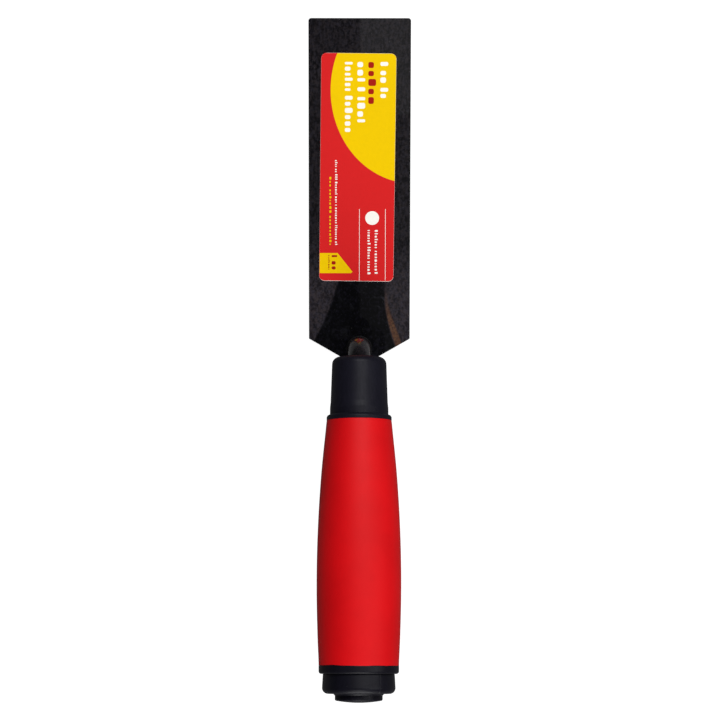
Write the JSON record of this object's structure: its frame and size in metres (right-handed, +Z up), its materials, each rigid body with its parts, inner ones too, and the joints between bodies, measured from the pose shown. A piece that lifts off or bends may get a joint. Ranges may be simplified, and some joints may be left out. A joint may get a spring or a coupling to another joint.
{
  "type": "margin trowel",
  "caption": "Narrow flat steel trowel blade with a blunt V heel, cranked round neck, black collar, red soft-grip handle and stepped black butt.",
  "frame": {"origin": "on the blade's working face, on its centreline, at the heel line where the straight sides start", "axes": "+Z up out of the blade's upper face, on the handle's side; +Y along the blade from the heel to the toe; +X to the right with the toe away from the viewer"},
  "size_m": [0.038, 0.2438, 0.0788],
  "materials": {
    "blade_steel": "hardened carbon steel, dark satin lacquer with heat tint at the heel",
    "label_vinyl": "printed vinyl, red ground with a yellow field",
    "shank_steel": "round bar under dark gloss lacquer",
    "weld_steel": "fillet weld bead under dark lacquer",
    "collar_plastic": "black moulded plastic, fine satin",
    "core_plastic": "black moulded plastic, fine satin",
    "grip_rubber": "red soft-touch moulded rubber",
    "cap_plastic": "black moulded plastic, fine satin",
    "plug_plastic": "black moulded plastic",
    "zinc_steel": "zinc plated"
  },
  "bodies": {
    "root": {"blade": "blade_steel", "size_label": "label_vinyl", "shank": "shank_steel", "shank_weld": "weld_steel", "front_collar": "collar_plastic", "handle_core": "core_plastic", "grip_sleeve": "grip_rubber", "butt_cap": "cap_plastic", "end_plug": "plug_plastic", "tang_washer": "zinc_steel", "tang_nut": "zinc_steel"}
  },
  "joints": []
}
